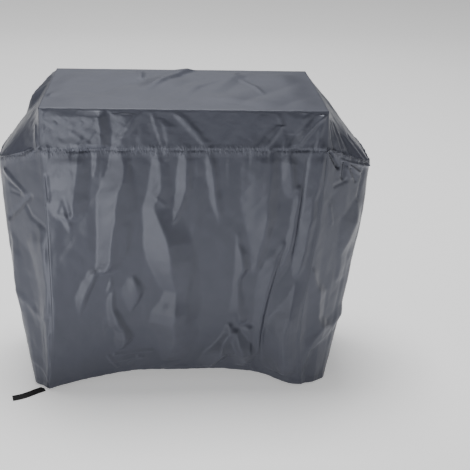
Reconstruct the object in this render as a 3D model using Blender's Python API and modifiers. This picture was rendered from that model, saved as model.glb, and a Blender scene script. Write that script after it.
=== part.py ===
"""A fitted barbecue cover of coated polyester cloth, made of the pieces its maker sews:
a top panel, a yoke of four pieces around it, a gathered skirt of four pieces below the
yoke, and a webbing tie at the left front corner of the hem.

Every cloth piece is a grid moved onto a surface. The surface has two shares: along, from
the piece's left edge to its right edge as seen from outside, and down, from its upper edge
to its lower edge. Fold tables give the hanging folds, and crease tables the sharp lines.
"""

import math
from collections import namedtuple

import bmesh
import bpy
from mathutils import Vector

# Driving sizes in metres. X is to the right, Y to the back, Z up. The origin is at the
# middle of the top's underside, which rests on what the cover is drawn over.
CLOTH = 0.0015
TOP_WIDTH = 1.032
TOP_DEPTH = 0.610
BACK_SEAM = -0.156
BACK_HEM = -1.150
TRIM = 0.0015
TOP_CLEARANCE = 0.0004
EDGE_FADE = 0.028

# The tie: flat webbing sewn to the hem, falling to the ground and lying on it.
TIE_WIDTH = 0.020
TIE_THICKNESS = 0.0016
GROUND = -1.160

CLOTH_COLOUR = (0.085, 0.093, 0.122, 1.0)
CLOTH_ROUGHNESS = 0.38
TIE_COLOUR = (0.010, 0.010, 0.011, 1.0)
TIE_ROUGHNESS = 0.75

# How far the top's corners lie below its middle plane.
TOP_CORNER_DROP = {"front_left": 0.002, "front_right": 0.009, "back_left": -0.002, "back_right": 0.001}

# The skirt's plan at five levels, from the seam (down 0) to the hem (down 1): where the
# front corners and the shoulders stand, and how far the shoulders are from the middle.
Level = namedtuple("Level", "down corner_left corner_right shoulder_left shoulder_right shoulder_depth")
LEVELS = [
    Level(0.00, -0.516, 0.520, -0.703, 0.726, 0.160),
    Level(0.25, -0.508, 0.509, -0.697, 0.718, 0.160),
    Level(0.50, -0.508, 0.482, -0.677, 0.678, 0.160),
    Level(0.75, -0.511, 0.450, -0.648, 0.640, 0.182),
    Level(1.00, -0.535, 0.471, -0.600, 0.582, 0.245),
]

# Heights of the gathered seam and of the hem at the eight points of that plan.
Post = namedtuple("Post", "seam hem")
POSTS = {
    "front_left": Post(-0.158, -1.152),
    "front_right": Post(-0.155, -1.150),
    "right_front": Post(-0.258, -1.160),
    "right_back": Post(-0.250, -1.152),
    "back_right": Post(BACK_SEAM, BACK_HEM),
    "back_left": Post(BACK_SEAM, BACK_HEM),
    "left_back": Post(-0.242, -1.150),
    "left_front": Post(-0.240, -1.153),
}

# The front hem is drawn in under the barbecue and lifts there.
HemPoint = namedtuple("HemPoint", "along inward height")
FRONT_HEM = [
    HemPoint(0.00, 0.000, -1.152),
    HemPoint(0.08, 0.036, -1.146),
    HemPoint(0.20, 0.066, -1.134),
    HemPoint(0.34, 0.085, -1.120),
    HemPoint(0.68, 0.084, -1.119),
    HemPoint(0.82, 0.068, -1.125),
    HemPoint(0.88, 0.048, -1.136),
    HemPoint(0.94, 0.008, -1.149),
    HemPoint(1.00, 0.000, -1.150),
]
DRAW_IN_POWER = 2.2

# Hanging folds, left to right as seen from outside. A row is one crest or trough: its place
# as a share of the width at each of FOLD_LEVELS down the piece, then how far it stands out
# there in metres, over 0 for a crest and under 0 for a trough.
FOLD_LEVELS = (0.0, 0.15, 0.30, 0.50, 0.75, 1.0)
Fold = namedtuple("Fold", "seam at_15 at_30 at_50 at_75 hem out_seam out_15 out_30 out_50 out_75 out_hem")
FRONT_FOLDS = [
    Fold(0.130, 0.104, 0.071, 0.060, 0.055, 0.050, 0.016, 0.014, 0.010, 0.005, 0.003, 0.002),
    Fold(0.244, 0.187, 0.176, 0.165, 0.150, 0.130, -0.008, -0.014, -0.014, -0.010, -0.004, -0.003),
    Fold(0.281, 0.270, 0.240, 0.225, 0.210, 0.220, 0.010, 0.014, 0.014, 0.004, 0.002, 0.002),
    Fold(0.382, 0.367, 0.353, 0.395, 0.386, 0.385, -0.010, -0.014, -0.014, -0.014, -0.010, -0.005),
    Fold(0.411, 0.418, 0.425, 0.472, 0.485, 0.450, 0.008, 0.010, 0.016, 0.018, 0.016, 0.004),
    Fold(0.470, 0.470, 0.455, 0.520, 0.540, 0.520, -0.004, -0.006, -0.004, -0.010, -0.010, -0.004),
    Fold(0.498, 0.504, 0.485, 0.560, 0.580, 0.560, 0.006, 0.008, 0.003, 0.000, 0.000, 0.000),
    Fold(0.560, 0.570, 0.600, 0.620, 0.640, 0.620, -0.004, -0.004, -0.004, -0.006, -0.006, -0.004),
    Fold(0.585, 0.602, 0.634, 0.660, 0.670, 0.660, 0.006, 0.007, 0.004, 0.000, 0.000, 0.000),
    Fold(0.698, 0.703, 0.708, 0.700, 0.703, 0.700, -0.008, -0.010, -0.010, -0.012, -0.008, -0.004),
    Fold(0.735, 0.735, 0.738, 0.742, 0.738, 0.730, -0.003, -0.003, -0.002, 0.008, 0.006, 0.002),
    Fold(0.780, 0.780, 0.775, 0.795, 0.800, 0.790, 0.004, 0.006, 0.004, -0.008, -0.008, -0.004),
    Fold(0.808, 0.812, 0.809, 0.855, 0.842, 0.825, 0.012, 0.013, 0.012, 0.006, 0.006, 0.002),
    Fold(0.838, 0.852, 0.885, 0.875, 0.860, 0.850, -0.006, -0.008, -0.014, -0.014, -0.012, -0.008),
    Fold(0.870, 0.892, 0.914, 0.900, 0.900, 0.900, 0.006, 0.010, 0.010, 0.002, 0.002, 0.002),
    Fold(0.921, 0.932, 0.936, 0.935, 0.930, 0.935, -0.006, -0.007, -0.007, -0.010, -0.004, -0.002),
    Fold(0.980, 0.980, 0.972, 0.970, 0.970, 0.970, 0.004, 0.005, 0.004, 0.004, 0.004, 0.002),
]
RIGHT_FOLDS = [
    Fold(0.050, 0.060, 0.060, 0.070, 0.070, 0.070, -0.004, -0.006, -0.008, -0.010, -0.008, -0.004),
    Fold(0.150, 0.155, 0.160, 0.170, 0.160, 0.150, 0.004, 0.005, 0.006, 0.010, 0.012, 0.012),
    Fold(0.230, 0.230, 0.230, 0.240, 0.240, 0.230, -0.004, -0.008, -0.010, -0.008, -0.007, -0.006),
    Fold(0.300, 0.300, 0.300, 0.310, 0.310, 0.310, 0.000, 0.002, 0.003, 0.006, 0.008, 0.009),
    Fold(0.410, 0.415, 0.420, 0.430, 0.430, 0.430, -0.006, -0.010, -0.012, -0.015, -0.015, -0.014),
    Fold(0.520, 0.525, 0.530, 0.530, 0.530, 0.540, 0.004, 0.008, 0.010, 0.014, 0.015, 0.015),
    Fold(0.620, 0.615, 0.610, 0.610, 0.620, 0.620, -0.006, -0.009, -0.010, -0.012, -0.012, -0.012),
    Fold(0.710, 0.710, 0.710, 0.720, 0.720, 0.720, 0.000, 0.003, 0.004, 0.008, 0.009, 0.010),
    Fold(0.840, 0.835, 0.830, 0.830, 0.830, 0.840, -0.004, -0.008, -0.010, -0.012, -0.011, -0.009),
]
BACK_FOLDS = [
    Fold(0.100, 0.095, 0.090, 0.080, 0.085, 0.090, 0.008, 0.011, 0.012, 0.012, 0.011, 0.010),
    Fold(0.200, 0.195, 0.190, 0.200, 0.190, 0.180, -0.008, -0.011, -0.012, -0.014, -0.012, -0.011),
    Fold(0.310, 0.315, 0.320, 0.310, 0.305, 0.300, 0.008, 0.012, 0.014, 0.015, 0.015, 0.014),
    Fold(0.430, 0.425, 0.420, 0.440, 0.435, 0.430, -0.008, -0.011, -0.013, -0.012, -0.011, -0.010),
    Fold(0.530, 0.535, 0.540, 0.530, 0.540, 0.550, 0.008, 0.011, 0.012, 0.016, 0.015, 0.013),
    Fold(0.640, 0.635, 0.630, 0.650, 0.645, 0.640, -0.009, -0.012, -0.014, -0.014, -0.014, -0.014),
    Fold(0.760, 0.760, 0.760, 0.740, 0.745, 0.750, 0.009, 0.012, 0.013, 0.014, 0.012, 0.010),
    Fold(0.880, 0.885, 0.890, 0.900, 0.895, 0.890, -0.006, -0.009, -0.010, -0.011, -0.010, -0.008),
]
LEFT_FOLDS = [
    Fold(0.160, 0.165, 0.170, 0.170, 0.165, 0.160, -0.004, -0.008, -0.010, -0.011, -0.010, -0.009),
    Fold(0.290, 0.290, 0.290, 0.280, 0.280, 0.280, 0.000, 0.003, 0.004, 0.008, 0.009, 0.009),
    Fold(0.390, 0.385, 0.380, 0.380, 0.385, 0.390, -0.006, -0.009, -0.011, -0.013, -0.013, -0.012),
    Fold(0.480, 0.485, 0.490, 0.490, 0.485, 0.480, 0.005, 0.008, 0.010, 0.014, 0.015, 0.015),
    Fold(0.590, 0.590, 0.590, 0.580, 0.575, 0.570, -0.006, -0.009, -0.011, -0.013, -0.013, -0.013),
    Fold(0.700, 0.695, 0.690, 0.700, 0.700, 0.690, 0.000, 0.002, 0.003, 0.005, 0.007, 0.008),
    Fold(0.790, 0.770, 0.760, 0.830, 0.880, 0.880, -0.003, -0.008, -0.012, -0.014, -0.010, -0.006),
    Fold(0.900, 0.895, 0.890, 0.930, 0.950, 0.950, 0.002, 0.004, 0.006, 0.007, 0.005, 0.003),
]

# Creases: a straight soft ridge (height over 0) or trough (under 0) from one point to the
# other, both as shares along and down the piece, with its half width and height in metres.
Crease = namedtuple("Crease", "along_1 down_1 along_2 down_2 width height")
TOP_CREASES = [
    Crease(0.28, 0.84, 0.36, 0.49, 0.030, 0.004),
    Crease(0.36, 0.49, 0.53, 0.02, 0.034, 0.007),
    Crease(0.40, 0.52, 0.64, 0.10, 0.050, 0.005),
    Crease(0.34, 0.10, 0.32, 0.46, 0.028, -0.004),
    Crease(0.70, 0.30, 0.79, 0.74, 0.034, 0.003),
    Crease(0.03, 0.74, 0.09, 0.45, 0.030, -0.003),
]
FRONT_YOKE_CREASES = [
    Crease(0.19, 0.05, 0.21, 0.95, 0.016, 0.004),
    Crease(0.34, 0.06, 0.29, 0.70, 0.013, 0.005),
    Crease(0.31, 0.50, 0.29, 0.95, 0.014, -0.005),
    Crease(0.38, 0.02, 0.42, 0.90, 0.015, 0.006),
    Crease(0.46, 0.05, 0.56, 0.90, 0.020, 0.006),
    Crease(0.77, 0.20, 0.69, 0.85, 0.018, 0.003),
    Crease(0.99, 0.06, 0.88, 0.92, 0.014, 0.005),
    Crease(0.99, 0.06, 0.78, 0.88, 0.016, 0.003),
]
RIGHT_YOKE_CREASES = [
    Crease(0.02, 0.10, 0.28, 0.85, 0.022, 0.006),
    Crease(0.60, 0.30, 0.80, 0.30, 0.060, 0.006),
]
LEFT_YOKE_CREASES = [
    Crease(0.10, 0.20, 0.35, 0.30, 0.050, 0.024),
    Crease(0.74, 0.85, 0.97, 0.15, 0.022, 0.005),
]
FRONT_CREASES = [
    Crease(0.23, 0.48, 0.15, 0.51, 0.018, 0.004),
    Crease(0.23, 0.62, 0.29, 0.84, 0.018, 0.006),
    Crease(0.71, 0.76, 0.70, 0.85, 0.018, 0.006),
    Crease(0.70, 0.85, 0.62, 0.97, 0.018, 0.006),
    Crease(0.75, 0.79, 0.78, 0.94, 0.018, 0.006),
]
RIGHT_CREASES = [
    Crease(0.30, 0.00, 0.04, 0.12, 0.020, 0.008),
    Crease(0.28, 0.07, 0.10, 0.13, 0.016, -0.006),
]
LEFT_CREASES = [
    Crease(0.71, 0.01, 0.86, 0.15, 0.018, 0.008),
    Crease(0.72, 0.22, 0.89, 0.17, 0.018, -0.007),
    Crease(0.76, 0.60, 0.97, 0.71, 0.022, 0.007),
]

# Each fitted side: its two skirt corners and, between them, the shoulders it bends over.
SHOULDER_SHARES = (0.30, 0.70)
SHOULDER_EASE = 0.07
SIDE_POINTS = {
    "front": ("front_left", "front_right"),
    "right": ("front_right", "right_front", "right_back", "back_right"),
    "back": ("back_right", "back_left"),
    "left": ("back_left", "left_back", "left_front", "front_left"),
}
TOP_CORNERS = {
    "front": ("front_left", "front_right"),
    "right": ("front_right", "back_right"),
    "back": ("back_right", "back_left"),
    "left": ("back_left", "front_left"),
}
FOLDS = {"front": FRONT_FOLDS, "right": RIGHT_FOLDS, "back": BACK_FOLDS, "left": LEFT_FOLDS}
SKIRT_CREASES = {"front": FRONT_CREASES, "right": RIGHT_CREASES, "back": [], "left": LEFT_CREASES}
YOKE_CREASES = {
    "front": FRONT_YOKE_CREASES,
    "right": RIGHT_YOKE_CREASES,
    "back": [],
    "left": LEFT_YOKE_CREASES,
}
SKIRT_ROWS = {"front": 14, "right": 13, "back": 10, "left": 13}
YOKE_ROWS = {"front": 4, "right": 4, "back": 2, "left": 4}
COLUMNS_PER_FOLD = 3
FOLD_REACH = 0.07
SEAM_CROWDING = 1.4
TOP_GRID = (16, 10)
TIE_GRID = (12, 1)


def smooth(value):
    """An even S from 0 to 1 as the value goes from 0 to 1."""
    value = min(1.0, max(0.0, value))
    return value * value * (3.0 - 2.0 * value)


def straight(stops, share):
    """The value at a share, on straight runs between (share, value) stops."""
    for (start, low), (end, high) in zip(stops, stops[1:]):
        if share <= end:
            break
    return low + (high - low) * ((share - start) / (end - start))


def eased(stops, share, reach):
    """The same, with each bend rounded over a reach to both sides of it."""
    steps = (-1.0, -0.5, 0.0, 0.5, 1.0)
    values = [straight(stops, share + reach * step) for step in steps]
    total = values[0]
    for value in values[1:]:
        total = total + value
    return total * (1.0 / len(steps))


def level_value(column, down):
    """A column of the level table at a share down the skirt."""
    return eased([(row.down, getattr(row, column)) for row in LEVELS], down, 0.10)


def plan_point(name, down):
    """One of the eight points of the skirt's plan, at a share down from seam to hem."""
    front, back = -0.5 * TOP_DEPTH, 0.5 * TOP_DEPTH
    depth = level_value("shoulder_depth", down)
    places = {
        "front_left": (level_value("corner_left", down), front),
        "front_right": (level_value("corner_right", down), front),
        "right_front": (level_value("shoulder_right", down), -depth),
        "right_back": (level_value("shoulder_right", down), depth),
        "back_right": (0.5 * TOP_WIDTH - 0.020 * down, back),
        "back_left": (-0.5 * TOP_WIDTH + 0.012 * down, back),
        "left_back": (level_value("shoulder_left", down), depth),
        "left_front": (level_value("shoulder_left", down), -depth),
    }
    post = POSTS[name]
    return Vector((*places[name], post.seam + (post.hem - post.seam) * down))


def skirt_base(side, along, down):
    """A point of a skirt piece before its folds."""
    names = SIDE_POINTS[side]
    if len(names) == 4:
        shares = (0.0, *SHOULDER_SHARES, 1.0)
        stops = [(share, plan_point(name, down)) for share, name in zip(shares, names)]
        return eased(stops, along, SHOULDER_EASE)
    left, right = (plan_point(name, down) for name in names)
    point = left.lerp(right, along)
    if side == "front":
        inward = eased([(row.along, row.inward) for row in FRONT_HEM], along, 0.03)
        height = eased([(row.along, row.height) for row in FRONT_HEM], along, 0.03)
        seam = POSTS["front_left"].seam * (1.0 - along) + POSTS["front_right"].seam * along
        point.y += inward * max(down, 0.0) ** DRAW_IN_POWER
        point.z = seam + (height - seam) * down
    return point


def top_corner(name):
    """A corner of the top panel's outer face."""
    across = 0.5 if name.endswith("right") else -0.5
    deep = 0.5 if name.startswith("back") else -0.5
    return Vector((across * TOP_WIDTH, deep * TOP_DEPTH, CLOTH - TOP_CORNER_DROP[name]))


def top_base(along, down):
    """A point of the top panel before its creases; down runs from the back to the front."""
    back = top_corner("back_left").lerp(top_corner("back_right"), along)
    front = top_corner("front_left").lerp(top_corner("front_right"), along)
    return back.lerp(front, down)


def yoke_base(side, along, down):
    """A point of a yoke piece: a straight run from the top's edge to the gathered seam."""
    first, last = (top_corner(name) for name in TOP_CORNERS[side])
    upper = first.lerp(last, along) - Vector((0.0, 0.0, CLOTH + TOP_CLEARANCE))
    return upper.lerp(skirt_base(side, along, 0.0), down)


def fold_at(side, column, down):
    """Where a share of the columns runs along the side, and how far it stands out there."""
    levels = len(FOLD_LEVELS)
    rows = [(0.0,) * 2 * levels, *FOLDS[side], (1.0,) * levels + (0.0,) * levels]
    step = column * (len(rows) - 1)
    first = min(int(step), len(rows) - 2)
    places = []
    heights = []
    for row in rows[first:first + 2]:
        places.append(eased(list(zip(FOLD_LEVELS, row[:levels])), down, FOLD_REACH))
        heights.append(eased(list(zip(FOLD_LEVELS, row[levels:])), down, FOLD_REACH))
    part = step - first
    along = places[0] + (places[1] - places[0]) * part
    return along, heights[0] + (heights[1] - heights[0]) * smooth(part)


def crease_height(creases, along, down, width, height):
    """The creases' relief at a point of a piece of this width and height."""
    spot = Vector((along * width, down * height))
    relief = 0.0
    for crease in creases:
        start = Vector((crease.along_1 * width, crease.down_1 * height))
        run = Vector((crease.along_2 * width, crease.down_2 * height)) - start
        part = min(1.0, max(0.0, (spot - start).dot(run) / run.length_squared))
        distance = (spot - start - run * part).length
        relief += crease.height * math.exp(-(distance / crease.width) ** 2)
    return relief


def edge_fade(along, down, width, height, free_hem):
    """0 on a sewn edge and 1 from EDGE_FADE inside it; a free hem doesn't fade."""
    inside = [along * width, (1.0 - along) * width, down * height]
    if not free_hem:
        inside.append((1.0 - down) * height)
    return smooth(min(inside) / EDGE_FADE)


def raised(base, along, down, relief):
    """The base surface's point moved out along its normal by the relief."""
    step = 0.002
    across = base(along + step, down) - base(along - step, down)
    downward = base(along, down + step) - base(along, down - step)
    return base(along, down) + downward.cross(across).normalized() * relief


def side_width(side):
    """The length of a side's gathered seam, corner to corner."""
    points = [skirt_base(side, step / 20, 0.0) for step in range(21)]
    return sum((end - start).length for start, end in zip(points, points[1:]))


def trimmed(share, length):
    """A share from edge to edge, drawn in by TRIM at both edges of a piece of this length."""
    inset = TRIM / length
    return inset + share * (1.0 - 2.0 * inset)


def cloth_material(name, colour, roughness):
    """A plain Principled material."""
    material = bpy.data.materials.new(name)
    material.use_nodes = True
    shader = material.node_tree.nodes["Principled BSDF"]
    shader.inputs["Base Color"].default_value = colour
    shader.inputs["Roughness"].default_value = roughness
    shader.inputs["Metallic"].default_value = 0.0
    material.diffuse_color = colour
    return material


def sheet(name, surface, grid_size, thickness, colour, roughness, collection):
    """A sheet of cloth: a grid moved onto a surface of (column, down), thickened inwards."""
    shape = bmesh.new()
    bmesh.ops.create_grid(shape, x_segments=grid_size[0], y_segments=grid_size[1], size=0.5)
    for vert in shape.verts:
        vert.co = surface(vert.co.x + 0.5, 0.5 - vert.co.y)
    mesh = bpy.data.meshes.new(name)
    shape.to_mesh(mesh)
    shape.free()
    mesh.shade_smooth()
    mesh.materials.append(cloth_material(name, colour, roughness))
    piece = bpy.data.objects.new(name, mesh)
    collection.objects.link(piece)
    wall = piece.modifiers.new("thickness", "SOLIDIFY")
    wall.thickness = thickness
    wall.offset = -1.0
    return piece


def cloth_piece(name, surface, grid_size, collection):
    """One cut piece of the cover's cloth."""
    return sheet(name, surface, grid_size, CLOTH, CLOTH_COLOUR, CLOTH_ROUGHNESS, collection)


def add_top(collection):
    """The top panel."""
    def surface(column, down):
        relief = crease_height(TOP_CREASES, column, down, TOP_WIDTH, TOP_DEPTH)
        relief *= edge_fade(column, down, TOP_WIDTH, TOP_DEPTH, False)
        return raised(top_base, column, down, relief)
    cloth_piece("top_panel", surface, TOP_GRID, collection)


def add_yoke(side, collection):
    """One side of the yoke, with its columns in line with the skirt's."""
    width = side_width(side)
    height = -BACK_SEAM

    def base(along, down):
        return yoke_base(side, along, down)

    def surface(column, down):
        along = trimmed(fold_at(side, column, 0.0)[0], width)
        down *= 1.0 - TRIM / height
        relief = crease_height(YOKE_CREASES[side], along, down, width, height)
        return raised(base, along, down, relief * edge_fade(along, down, width, height, False))
    columns = COLUMNS_PER_FOLD * (len(FOLDS[side]) + 1)
    cloth_piece("yoke_" + side, surface, (columns, YOKE_ROWS[side]), collection)


def add_skirt(side, collection):
    """One side of the skirt, hanging in its folds, with closer rows near the seam."""
    width = side_width(side)
    height = BACK_SEAM - BACK_HEM

    def base(along, down):
        return skirt_base(side, along, down)

    def surface(column, down):
        inset = TRIM / height
        down = inset + down ** SEAM_CROWDING * (1.0 - inset)
        along, out = fold_at(side, column, down)
        along = trimmed(along, width)
        relief = out + crease_height(SKIRT_CREASES[side], along, down, width, height)
        return raised(base, along, down, relief * edge_fade(along, down, width, height, True))
    columns = COLUMNS_PER_FOLD * (len(FOLDS[side]) + 1)
    cloth_piece("skirt_" + side, surface, (columns, SKIRT_ROWS[side]), collection)


def tie_route():
    """The middle of the tie: down from the hem's left front corner, then out on the ground."""
    lying = GROUND + TIE_THICKNESS + 0.0006
    return [
        Vector((-0.556, -0.300, -1.1550)),
        Vector((-0.568, -0.306, lying)),
        Vector((-0.586, -0.317, lying)),
        Vector((-0.618, -0.342, lying)),
        Vector((-0.645, -0.357, lying)),
        Vector((-0.673, -0.366, lying)),
    ]


def add_tie(collection):
    """The webbing tie at the hem."""
    route = tie_route()
    stops = [(index / (len(route) - 1), point) for index, point in enumerate(route)]

    def surface(column, down):
        middle = eased(stops, column, 0.08)
        run = eased(stops, column + 0.01, 0.08) - eased(stops, column - 0.01, 0.08)
        across = Vector((0.0, 0.0, 1.0)).cross(run).normalized()
        return middle + across * TIE_WIDTH * (0.5 - down)
    sheet("hem_tie", surface, TIE_GRID, TIE_THICKNESS, TIE_COLOUR, TIE_ROUGHNESS, collection)


def build():
    """The whole cover, in its own collection."""
    for item in list(bpy.data.objects):
        bpy.data.objects.remove(item, do_unlink=True)
    collection = bpy.data.collections.new("barbecue_cover")
    bpy.context.scene.collection.children.link(collection)
    add_top(collection)
    for side in SIDE_POINTS:
        add_yoke(side, collection)
        add_skirt(side, collection)
    add_tie(collection)


build()
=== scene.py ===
"""The barbecue cover as it looks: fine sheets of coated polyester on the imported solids'
folds, with their seams, gathers, hem and creases, and the webbing tie on the ground.

Every cloth piece is a fine grid moved onto a surface by numpy. A surface has two places:
along, the share of the piece's width from its left edge as seen from outside, and down,
the share of its height from its upper edge.
"""

import math
from collections import namedtuple

import bmesh
import bpy
import numpy as np
from mathutils import Matrix, Vector


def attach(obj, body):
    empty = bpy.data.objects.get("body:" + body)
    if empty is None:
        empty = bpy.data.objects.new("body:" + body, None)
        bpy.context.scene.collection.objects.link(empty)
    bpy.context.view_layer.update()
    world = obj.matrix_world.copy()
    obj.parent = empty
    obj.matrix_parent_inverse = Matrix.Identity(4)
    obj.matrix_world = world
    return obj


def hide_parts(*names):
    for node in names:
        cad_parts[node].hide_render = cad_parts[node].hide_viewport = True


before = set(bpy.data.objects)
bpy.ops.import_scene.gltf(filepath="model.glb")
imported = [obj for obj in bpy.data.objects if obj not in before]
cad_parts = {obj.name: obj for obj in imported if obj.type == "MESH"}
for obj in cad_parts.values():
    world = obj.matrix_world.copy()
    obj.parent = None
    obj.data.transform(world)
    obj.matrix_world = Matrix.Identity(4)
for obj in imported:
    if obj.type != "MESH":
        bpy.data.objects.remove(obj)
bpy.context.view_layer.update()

# Sizes in metres, as the cover's own cut: X right, Y back, Z up from under the top.
TOP_WIDTH = 1.032
TOP_DEPTH = 0.610
BACK_SEAM = -0.156
BACK_HEM = -1.150
CLOTH = 0.0015
GROUND = -1.160
SIDE_YOKE_DROP = 0.290

TOP_CORNER_DROP = {"front_left": 0.002, "front_right": 0.009, "back_left": -0.002, "back_right": 0.001}

# The skirt's plan at shares down it: front corners and shoulders across, and how far the
# shoulders reach to the front and back.
Level = namedtuple("Level", "down corner_left corner_right shoulder_left shoulder_right shoulder_depth")
LEVELS = [
    Level(0.00, -0.516, 0.520, -0.703, 0.726, 0.160),
    Level(0.25, -0.508, 0.509, -0.697, 0.718, 0.160),
    Level(0.50, -0.508, 0.482, -0.677, 0.678, 0.160),
    Level(0.75, -0.511, 0.450, -0.648, 0.640, 0.182),
    Level(1.00, -0.535, 0.471, -0.600, 0.582, 0.245),
]

# Heights of the gathered seam and the hem at the plan's eight points.
Post = namedtuple("Post", "seam hem")
POSTS = {
    "front_left": Post(-0.158, -1.152),
    "front_right": Post(-0.155, -1.150),
    "right_front": Post(-0.258, -1.160),
    "right_back": Post(-0.250, -1.152),
    "back_right": Post(BACK_SEAM, BACK_HEM),
    "back_left": Post(BACK_SEAM, BACK_HEM),
    "left_back": Post(-0.242, -1.150),
    "left_front": Post(-0.240, -1.153),
}

# The front hem's arch: how far the cloth is drawn in there, and its height.
HemPoint = namedtuple("HemPoint", "along inward height")
FRONT_HEM = [
    HemPoint(0.00, 0.000, -1.152),
    HemPoint(0.08, 0.036, -1.146),
    HemPoint(0.20, 0.066, -1.134),
    HemPoint(0.34, 0.085, -1.120),
    HemPoint(0.68, 0.084, -1.119),
    HemPoint(0.82, 0.068, -1.125),
    HemPoint(0.88, 0.048, -1.136),
    HemPoint(0.94, 0.008, -1.149),
    HemPoint(1.00, 0.000, -1.150),
]
DRAW_IN_POWER = 2.2

# Hanging folds, left to right as seen from outside. A row is one crest or trough: its place
# along the piece at each of FOLD_LEVELS down it, then how far it stands out there in metres.
FOLD_LEVELS = (0.0, 0.15, 0.30, 0.50, 0.75, 1.0)
Fold = namedtuple("Fold", "seam at_15 at_30 at_50 at_75 hem out_seam out_15 out_30 out_50 out_75 out_hem")
RIGHT_FOLDS = [
    (0.050, 0.060, 0.060, 0.070, 0.070, 0.070, -0.001, -0.002, -0.002, -0.003, -0.003, -0.002),
    (0.150, 0.155, 0.160, 0.170, 0.160, 0.150, 0.001, 0.002, 0.002, 0.003, 0.004, 0.004),
    (0.230, 0.230, 0.230, 0.240, 0.240, 0.230, -0.002, -0.003, -0.004, -0.003, -0.003, -0.002),
    (0.300, 0.300, 0.300, 0.310, 0.310, 0.310, 0.000, 0.002, 0.003, 0.006, 0.008, 0.009),
    (0.410, 0.415, 0.420, 0.430, 0.430, 0.430, -0.006, -0.010, -0.012, -0.015, -0.015, -0.014),
    (0.520, 0.525, 0.530, 0.530, 0.530, 0.540, 0.004, 0.008, 0.010, 0.014, 0.015, 0.015),
    (0.620, 0.615, 0.610, 0.610, 0.620, 0.620, -0.006, -0.009, -0.010, -0.012, -0.012, -0.012),
    (0.710, 0.710, 0.710, 0.720, 0.720, 0.720, 0.000, 0.003, 0.004, 0.008, 0.009, 0.010),
    (0.840, 0.835, 0.830, 0.830, 0.830, 0.840, -0.004, -0.008, -0.010, -0.012, -0.011, -0.009),
]
BACK_FOLDS = [
    (0.100, 0.095, 0.090, 0.080, 0.085, 0.090, 0.008, 0.011, 0.012, 0.012, 0.011, 0.010),
    (0.200, 0.195, 0.190, 0.200, 0.190, 0.180, -0.008, -0.011, -0.012, -0.014, -0.012, -0.011),
    (0.310, 0.315, 0.320, 0.310, 0.305, 0.300, 0.008, 0.012, 0.014, 0.015, 0.015, 0.014),
    (0.430, 0.425, 0.420, 0.440, 0.435, 0.430, -0.008, -0.011, -0.013, -0.012, -0.011, -0.010),
    (0.530, 0.535, 0.540, 0.530, 0.540, 0.550, 0.008, 0.011, 0.012, 0.016, 0.015, 0.013),
    (0.640, 0.635, 0.630, 0.650, 0.645, 0.640, -0.009, -0.012, -0.014, -0.014, -0.014, -0.014),
    (0.760, 0.760, 0.760, 0.740, 0.745, 0.750, 0.009, 0.012, 0.013, 0.014, 0.012, 0.010),
    (0.880, 0.885, 0.890, 0.900, 0.895, 0.890, -0.006, -0.009, -0.010, -0.011, -0.010, -0.008),
]
LEFT_FOLDS = [
    (0.160, 0.165, 0.170, 0.170, 0.165, 0.160, -0.004, -0.008, -0.010, -0.011, -0.010, -0.009),
    (0.290, 0.290, 0.290, 0.280, 0.280, 0.280, 0.000, 0.003, 0.004, 0.008, 0.009, 0.009),
    (0.390, 0.385, 0.380, 0.380, 0.385, 0.390, -0.006, -0.009, -0.011, -0.013, -0.013, -0.012),
    (0.480, 0.485, 0.490, 0.490, 0.485, 0.480, 0.005, 0.008, 0.010, 0.014, 0.015, 0.015),
    (0.590, 0.590, 0.590, 0.580, 0.575, 0.570, -0.006, -0.009, -0.011, -0.013, -0.013, -0.013),
    (0.700, 0.695, 0.690, 0.700, 0.700, 0.690, 0.000, 0.002, 0.003, 0.005, 0.007, 0.008),
    (0.790, 0.770, 0.760, 0.830, 0.880, 0.880, -0.001, -0.003, -0.004, -0.004, -0.003, -0.002),
    (0.900, 0.895, 0.890, 0.930, 0.950, 0.950, 0.001, 0.001, 0.002, 0.002, 0.002, 0.001),
]

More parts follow.
